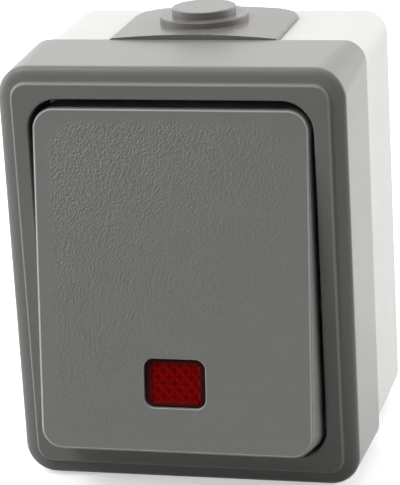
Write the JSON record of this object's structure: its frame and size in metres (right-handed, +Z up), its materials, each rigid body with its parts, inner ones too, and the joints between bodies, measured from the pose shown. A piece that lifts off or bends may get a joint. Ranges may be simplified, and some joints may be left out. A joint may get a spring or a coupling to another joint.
{
  "type": "outdoor weatherproof light switch",
  "caption": "Surface-mounted weatherproof light switch: wall box with a stepped cable entry, grey cover frame, and a large tilting rocker with a red pilot window",
  "frame": {"origin": "middle of the flat back face that goes on the wall", "axes": "+X right as seen from the front, +Y into the wall, +Z up with the cable entry on top"},
  "size_m": [0.066, 0.0596, 0.085],
  "materials": {
    "white_plastic": "moulded, fine satin",
    "grey_plastic": "moulded, satin",
    "grained_plastic": "moulded, spark-eroded grain on the face",
    "red_plastic": "clear red, prisms behind",
    "soft_grey": "soft moulded, matt",
    "black_seal": "closed-cell foam",
    "insulator": "moulded thermoset",
    "cradle_plastic": "moulded polyamide",
    "zinc_steel": "zinc plated",
    "spring_steel": "drawn wire",
    "terminal_brass": "milled",
    "contact_silver": "silver tip",
    "lamp_glass": "drawn glass",
    "tinned_wire": "tinned"
  },
  "bodies": {
    "housing": {"base_housing": "white_plastic", "cable_entry": "soft_grey", "cover_seal": "black_seal", "front_cover": "grey_plastic", "cover_screws": "zinc_steel", "insert_seal": "black_seal", "carrier_plate": "zinc_steel", "carrier_screws": "zinc_steel", "contact_block": "insulator", "bearing_frame": "insulator", "frame_rivets": "zinc_steel", "common_terminal": "terminal_brass", "neutral_terminal": "terminal_brass", "upper_terminal": "terminal_brass", "lower_terminal": "terminal_brass", "fixed_contacts": "contact_silver", "terminal_screws": "zinc_steel", "lamp_holder": "insulator", "glow_lamp": "lamp_glass", "lamp_leads": "tinned_wire"},
    "rocker": {"rocker": "grained_plastic", "lens": "red_plastic", "cradle": "cradle_plastic", "plunger": "cradle_plastic", "plunger_spring": "spring_steel"},
    "contact": {"contact_bridge": "terminal_brass", "bridge_contacts": "contact_silver"}
  },
  "joints": [
    {"name": "rocker_tilt", "type": "hinge", "parent": "housing", "child": "rocker", "pos_m": [0, -0.0492, 0], "axis": [1, 0, 0], "range_deg": [0, 16]},
    {"name": "contact_flip", "type": "hinge", "parent": "housing", "child": "contact", "pos_m": [0, -0.027, 0], "axis": [1, 0, 0], "range_deg": [-14, 0]}
  ],
  "couplings": [
    {"joint": "contact_flip", "follows": "rocker_tilt", "ratio": -0.875}
  ]
}
